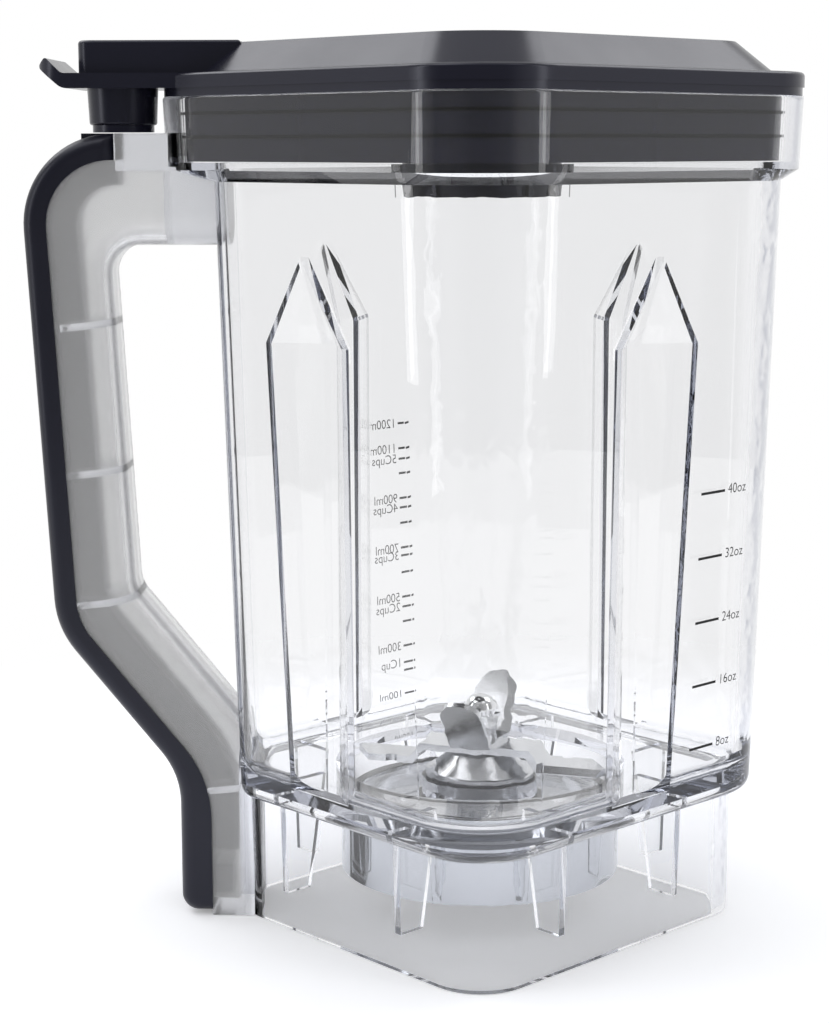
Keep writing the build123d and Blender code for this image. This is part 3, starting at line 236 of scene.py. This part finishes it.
def clear_plastic(name, frosted):
    """Clear moulded plastic with a little absorption; the handle's core is frosted, and less see-through
    on its faces that look along Y, a painted difference in brightness between its sides.
    """
    material, tree, output = new_material(name)
    shader = add(tree, "ShaderNodeBsdfPrincipled", inputs={
        "Base Color": WHITE, "Roughness": 0.0, "IOR": PLASTIC_IOR, "Transmission Weight": 1.0})
    absorb = add(tree, "ShaderNodeVolumeAbsorption", inputs={
        "Color": PLASTIC_TINT, "Density": PLASTIC_DENSITY})
    link(tree, shader.outputs["BSDF"], output.inputs["Surface"])
    link(tree, absorb.outputs["Volume"], output.inputs["Volume"])
    if frosted:
        frost = frost_factor(tree)
        # Painted difference in brightness: the frosted core's faces that look along Y let less light
        # through
        flank_shading = add(tree, "ShaderNodeMath", operation="MULTIPLY")
        link(tree, frost, flank_shading.inputs[0])
        link(tree, flank_shade_factor(tree), flank_shading.inputs[1])
        clearness = between(tree, flank_shading.outputs[0], 1.0, FLANK_SHADE_CLEARNESS)
        link(tree, between(tree, frost, 0.0, FROST_ROUGHNESS), shader.inputs["Roughness"])
        link(tree, clearness, shader.inputs["Transmission Weight"])
    return material


def paint_lip_shade(tree, shader, heights):
    """Painted shade: darker, duller bands at the heights of a gasket's lips, for the shadow lines between
    them.
    """
    roughness = shader.inputs["Roughness"].links[0].from_socket
    coords = add(tree, "ShaderNodeTexCoord")
    split = add(tree, "ShaderNodeSeparateXYZ")
    link(tree, coords.outputs["Object"], split.inputs["Vector"])
    bands = []
    for height in heights:
        band = add(tree, "ShaderNodeMath", operation="COMPARE", inputs={
            1: height * MM, 2: GASKET_LIP_SHADE_HALF * MM})
        link(tree, split.outputs["Z"], band.inputs[0])
        bands.append(band.outputs[0])
    in_lip_shade = larger_of(tree, *bands)
    shaded_roughness = add(tree, "ShaderNodeMix", data_type="FLOAT", inputs={"B": LIP_SHADE_ROUGHNESS})
    link(tree, in_lip_shade, shaded_roughness.inputs["Factor"])
    link(tree, roughness, shaded_roughness.inputs["A"])
    link(tree, shaded_roughness.outputs["Result"], shader.inputs["Roughness"])
    shaded_colour = add(tree, "ShaderNodeMix", data_type="RGBA", inputs={
        "A": shader.inputs["Base Color"].default_value[:], "B": LIP_SHADE_COLOUR})
    link(tree, in_lip_shade, shaded_colour.inputs["Factor"])
    link(tree, shaded_colour.outputs["Result"], shader.inputs["Base Color"])


def black_plastic(name, colour, low, high, grain, depth, lips=()):
    """Satin black moulding with a fine grain, and painted shade in dark, dull bands where it has lips."""
    material, tree, output = new_material(name)
    shader = add(tree, "ShaderNodeBsdfPrincipled", inputs={
        "Base Color": (*colour, 1.0), "IOR": BLACK_IOR, "Specular Tint": BLACK_GLOSS_TINT})
    link(tree, shader.outputs["BSDF"], output.inputs["Surface"])
    varied_roughness(tree, shader, BLACK_DRIFT_SCALE, low, high)
    noise_bump(tree, shader, grain, BLACK_GRAIN_STRENGTH, depth)
    if lips:
        paint_lip_shade(tree, shader, lips)
    return material


def steel(name, colour, low, high, scratch):
    """Machined steel with fine scratches."""
    material, tree, output = new_material(name)
    shader = add(tree, "ShaderNodeBsdfPrincipled", inputs={"Base Color": (*colour, 1.0), "Metallic": 1.0})
    link(tree, shader.outputs["BSDF"], output.inputs["Surface"])
    varied_roughness(tree, shader, STEEL_DRIFT_SCALE, low, high)
    noise_bump(tree, shader, scratch, STEEL_GRAIN_STRENGTH, STEEL_GRAIN_DEPTH)
    return material


def ink(name):
    """Matte printing ink."""
    material, tree, output = new_material(name)
    shader = add(tree, "ShaderNodeBsdfPrincipled", inputs={"Base Color": INK_COLOUR, "IOR": INK_IOR})
    link(tree, shader.outputs["BSDF"], output.inputs["Surface"])
    varied_roughness(tree, shader, INK_DRIFT_SCALE, *INK_ROUGHNESS)
    return material


CLEAR = clear_plastic("clear_jar", True)
SMOKY = clear_plastic("smoky_cap", False)
GRIP = black_plastic("grip_black", (0.008, 0.008, 0.015), 0.30, 0.38, 2600.0, 0.00002)
LID = black_plastic("lid_black", (0.010, 0.010, 0.018), 0.20, 0.27, 2200.0, 0.00001)
RUBBER = black_plastic("rubber_black", (0.009, 0.009, 0.020), 0.18, 0.26, 1500.0, 0.00001)
# The gasket gets painted shade in dark bands at its lips
GASKET = black_plastic("gasket_black", (0.012, 0.012, 0.026), 0.16, 0.24, 1500.0, 0.00001, GASKET_LIPS)
MAGNET = steel("magnet_dark", (0.08, 0.08, 0.09), 0.35, 0.45, 900.0)
BRIGHT = steel("bright_steel", (0.80, 0.81, 0.82), 0.07, 0.14, 1400.0)
CHROME = steel("ring_chrome", (0.56, 0.58, 0.62), 0.04, 0.09, 1400.0)
STEEL = steel("turned_steel", (0.62, 0.63, 0.65), 0.16, 0.26, 1400.0)
BEARING = steel("bearing_steel", (0.50, 0.51, 0.53), 0.22, 0.32, 1400.0)
BLADE = steel("blade_steel", (0.70, 0.71, 0.73), 0.14, 0.24, 1800.0)
INK = ink("scale_ink")

NODE_MATERIALS = {
    "jar_body": CLEAR, "filler_cap": SMOKY, "handle_cover": GRIP, "lid": LID, "lid_gasket": GASKET,
    "lug_foot": RUBBER, "cap_seal": RUBBER, "housing_gasket": RUBBER, "shaft_seal": RUBBER,
    "handle_magnet": MAGNET, "base_ring": CHROME, "dome_nut": BRIGHT,
    "lower_blade": BLADE, "upper_blade": BLADE,
    "bearing_housing": STEEL, "retaining_nut": STEEL, "floor_washer": STEEL, "blade_collar": STEEL,
    "lock_washer": STEEL, "shaft": STEEL, "drive_spline": BEARING, "upper_bearing_outer": BEARING,
    "lower_bearing_outer": BEARING, "upper_bearing_inner": BEARING, "lower_bearing_inner": BEARING,
    "bearing_spacer": BEARING, "bearing_circlip": BEARING}
for node, material in NODE_MATERIALS.items():
    NODES[node].data.materials.clear()
    NODES[node].data.materials.append(material)


# Volume marks printed on two faces

def face_matrix(azimuth, across, height):
    """Frame on the body's outer face: X across as read from outside, Y up the face, Z outwards."""
    turn = math.radians(azimuth)
    lean = math.atan(FACE_LEAN)
    normal = Vector((math.cos(turn), math.sin(turn), 0))
    right = Vector((-math.sin(turn), math.cos(turn), 0))
    half = HALF_BOTTOM + (height - BODY_BOTTOM) * FACE_LEAN + INK_LIFT
    up = (Vector((0, 0, 1)) * math.cos(lean) + normal * math.sin(lean)).normalized()
    out = right.cross(up)
    matrix = Matrix((right, up, out)).transposed().to_4x4()
    matrix.translation = normal * half * MM + right * across * MM + Vector((0, 0, height * MM))
    return matrix


def text_mesh(words, size, matrix):
    """Printed words on a face."""
    curve = bpy.data.curves.new("mark", "FONT")
    curve.body = words
    curve.size = size * MM
    curve.align_x = "LEFT"
    curve.align_y = "CENTER"
    curve.offset = -LETTER_THINNING * MM
    source = bpy.data.objects.new("mark_source", curve)
    bpy.context.scene.collection.objects.link(source)
    mesh = bpy.data.meshes.new_from_object(source.evaluated_get(bpy.context.evaluated_depsgraph_get()))
    bpy.data.objects.remove(source)
    mesh.transform(matrix)
    return mesh


def bar_mesh(length, thick, matrix):
    """Printed line on a face."""
    mesh = bpy.data.meshes.new("mark")
    half = thick / 2 * MM
    corners = [(0, -half, 0), (length * MM, -half, 0), (length * MM, half, 0), (0, half, 0)]
    mesh.from_pydata(corners, [], [(0, 1, 2, 3)])
    mesh.transform(matrix)
    return mesh


def join_meshes(name, meshes):
    """One printed piece from several meshes."""
    verts, faces = [], []
    for mesh in meshes:
        start = len(verts)
        verts.extend(vertex.co.copy() for vertex in mesh.vertices)
        faces.extend([start + index for index in polygon.vertices] for polygon in mesh.polygons)
        bpy.data.meshes.remove(mesh)
    joined = bpy.data.meshes.new(name)
    joined.from_pydata(verts, [], faces)
    joined.materials.append(INK)
    piece = bpy.data.objects.new(name, joined)
    bpy.context.scene.collection.objects.link(piece)
    return piece


def ounce_marks():
    """Evenly spaced ounce lines with their numbers."""
    marks = []
    for index in range(OUNCE_COUNT):
        height = OUNCE_START + index * OUNCE_STEP
        bar_place = face_matrix(OUNCE_FACE, OUNCE_BAR_PLACE, height)
        text_place = face_matrix(OUNCE_FACE, OUNCE_TEXT_PLACE, height + OUNCE_TEXT_RISE)
        marks.append(bar_mesh(OUNCE_BAR_LENGTH, OUNCE_BAR_THICK, bar_place))
        marks.append(text_mesh(f"{OUNCES_PER_MARK * (index + 1)}oz", OUNCE_TEXT_SIZE, text_place))
    return marks


def litre_marks():
    """Millilitre and cup lines, most of them with their numbers."""
    rows = [(f"{volume}ml", volume) for volume in LITRE_NAMED]
    rows += [(f"{count}Cups" if count > 1 else "1Cup", volume) for count, volume in CUPS.items()]
    rows += [("", volume) for volume in LITRE_PLAIN]
    marks = []
    for words, volume in rows:
        height = LITRE_START + (volume - LITRE_FIRST) / LITRE_UNIT * LITRE_STEP
        bar_place = face_matrix(LITRE_FACE, LITRE_BAR_PLACE, height)
        text_place = face_matrix(LITRE_FACE, LITRE_TEXT_PLACE, height)
        marks.append(bar_mesh(LITRE_BAR_LENGTH, LITRE_BAR_THICK, bar_place))
        if words:
            marks.append(text_mesh(words, LITRE_TEXT_SIZE, text_place))
    return marks


ounce_scale = join_meshes("ounce_scale", ounce_marks())
litre_scale = join_meshes("litre_scale", litre_marks())
for piece in (ounce_scale, litre_scale):
    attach(piece, "jar")


# Floor, world and lamps

def level_ramp(tree, value, stops):
    """Grey level over one part of a direction, which runs from -1 to 1."""
    share = add(tree, "ShaderNodeMapRange", inputs={"From Min": -1.0, "From Max": 1.0})
    ramp = add(tree, "ShaderNodeValToRGB")
    elements = ramp.color_ramp.elements
    elements.remove(elements[1])
    for index, (place, level) in enumerate(stops):
        position = (place + 1) / 2
        element = elements[0] if index == 0 else elements.new(position)
        element.position = position
        element.color = (level, level, level, 1)
    link(tree, value, share.inputs["Value"])
    link(tree, share.outputs["Result"], ramp.inputs["Fac"])
    return ramp.outputs["Color"]


def above_zero(tree, depth):
    """1 where a count of bounces is one or more."""
    node = add(tree, "ShaderNodeMath", operation="GREATER_THAN", inputs={1: 0.5})
    link(tree, depth, node.inputs[0])
    return node.outputs[0]


def build_world():
    """White studio: white to the camera and straight through glass, with dimmer walls in reflections."""
    world = bpy.data.worlds.new("studio")
    bpy.context.scene.world = world
    world.use_nodes = True
    tree = world.node_tree
    tree.nodes.clear()
    output = add(tree, "ShaderNodeOutputWorld")
    coords = add(tree, "ShaderNodeTexCoord")
    split = add(tree, "ShaderNodeSeparateXYZ")
    link(tree, coords.outputs["Generated"], split.inputs["Vector"])
    levels = []
    for walls in (STUDIO_WALLS, STUDIO_THROUGH_GLASS):
        ramps = [level_ramp(tree, split.outputs[axis], stops) for axis, stops in walls.items()]
        levels.append(larger_of(tree, *ramps))

    path = add(tree, "ShaderNodeLightPath")
    studio = add(tree, "ShaderNodeMix", data_type="FLOAT")
    link(tree, above_zero(tree, path.outputs["Transmission Depth"]), studio.inputs["Factor"])
    link(tree, levels[0], studio.inputs["A"])
    link(tree, levels[1], studio.inputs["B"])
    lit = add(tree, "ShaderNodeBackground", inputs={"Color": WHITE, "Strength": WORLD_LIGHT})
    white = add(tree, "ShaderNodeBackground", inputs={"Color": WHITE, "Strength": 1.0})
    mirrored = add(tree, "ShaderNodeBackground", inputs={"Strength": 1.0})
    link(tree, studio.outputs["Result"], mirrored.inputs["Color"])
    bounced = above_zero(tree, path.outputs["Glossy Depth"])
    seen = mixed(tree, bounced, white.outputs[0], mirrored.outputs[0])
    link(tree, mixed(tree, seen_ray(tree, path), lit.outputs[0], seen), output.inputs["Surface"])


def floor_material():
    """Pale matt floor, lifted a little where it is seen, that fades to white further out."""
    material, tree, output = new_material("floor_white")
    coords = add(tree, "ShaderNodeTexCoord")
    distance = add(tree, "ShaderNodeVectorMath", operation="LENGTH")
    link(tree, coords.outputs["Object"], distance.inputs[0])
    fade = add(tree, "ShaderNodeMapRange", interpolation_type="SMOOTHSTEP", inputs={
        "From Min": FLOOR_FADE_START, "From Max": FLOOR_FADE_END})
    link(tree, distance.outputs["Value"], fade.inputs["Value"])
    matt = add(tree, "ShaderNodeBsdfDiffuse", inputs={"Color": FLOOR_COLOUR})
    lift = add(tree, "ShaderNodeEmission", inputs={"Color": WHITE, "Strength": FLOOR_LIFT})
    white = add(tree, "ShaderNodeEmission", inputs={"Color": WHITE, "Strength": 1.0})
    lifted = add(tree, "ShaderNodeAddShader")
    link(tree, matt.outputs[0], lifted.inputs[0])
    link(tree, lift.outputs[0], lifted.inputs[1])
    path = add(tree, "ShaderNodeLightPath")
    seen = mixed(tree, fade.outputs["Result"], lifted.outputs[0], white.outputs[0])
    link(tree, mixed(tree, seen_ray(tree, path), matt.outputs[0], seen), output.inputs["Surface"])
    return material


def build_floor():
    """Round floor that keeps the object's shadow."""
    mesh = bpy.data.meshes.new("floor")
    turns = [math.tau * index / FLOOR_SIDES for index in range(FLOOR_SIDES)]
    rim = [(FLOOR_RADIUS * math.cos(turn), FLOOR_RADIUS * math.sin(turn), 0) for turn in turns]
    mesh.from_pydata(rim, [], [tuple(range(FLOOR_SIDES))])
    mesh.materials.append(floor_material())
    floor = bpy.data.objects.new("floor", mesh)
    bpy.context.scene.collection.objects.link(floor)
    floor.location.z = -FLOOR_DROP


def area_lamp(name, place, width, height, power):
    """Soft box aimed at the jar."""
    lamp = bpy.data.lights.new(name, "AREA")
    lamp.shape = "RECTANGLE"
    lamp.size, lamp.size_y = width, height
    lamp.energy = power
    holder = bpy.data.objects.new(name, lamp)
    bpy.context.scene.collection.objects.link(holder)
    holder.location = place
    holder.visible_camera = False
    holder.rotation_mode = "QUATERNION"
    holder.rotation_quaternion = (Vector(AIM) - Vector(place)).to_track_quat("-Z", "Y")


build_world()
build_floor()
for lamp_row in LAMPS:
    area_lamp(*lamp_row)


# Camera and render settings

def build_camera():
    """Camera turned by yaw, then pitch down, then roll."""
    level = math.cos(CAMERA_PITCH)
    forward = Vector((math.sin(CAMERA_YAW) * level, math.cos(CAMERA_YAW) * level, -math.sin(CAMERA_PITCH)))
    right = Vector((math.cos(CAMERA_YAW), -math.sin(CAMERA_YAW), 0))
    up = right.cross(forward)
    right_rolled = right * math.cos(CAMERA_ROLL) + up * math.sin(CAMERA_ROLL)
    up_rolled = up * math.cos(CAMERA_ROLL) - right * math.sin(CAMERA_ROLL)
    matrix = Matrix((right_rolled, up_rolled, -forward)).transposed().to_4x4()
    matrix.translation = Vector(CAMERA_PLACE)
    camera = bpy.data.objects.new("camera", bpy.data.cameras.new("camera"))
    bpy.context.scene.collection.objects.link(camera)
    camera.matrix_world = matrix
    camera.data.sensor_width = SENSOR
    camera.data.lens = FOCAL_PIXELS / IMAGE_HEIGHT * SENSOR
    camera.data.clip_start, camera.data.clip_end = CLIP_START, CLIP_END
    bpy.context.scene.camera = camera


build_camera()
scene = bpy.context.scene
scene.view_settings.view_transform = "Standard"
scene.cycles.max_bounces = LIGHT_BOUNCES
scene.cycles.transmission_bounces = LIGHT_BOUNCES
scene.cycles.glossy_bounces = LIGHT_BOUNCES
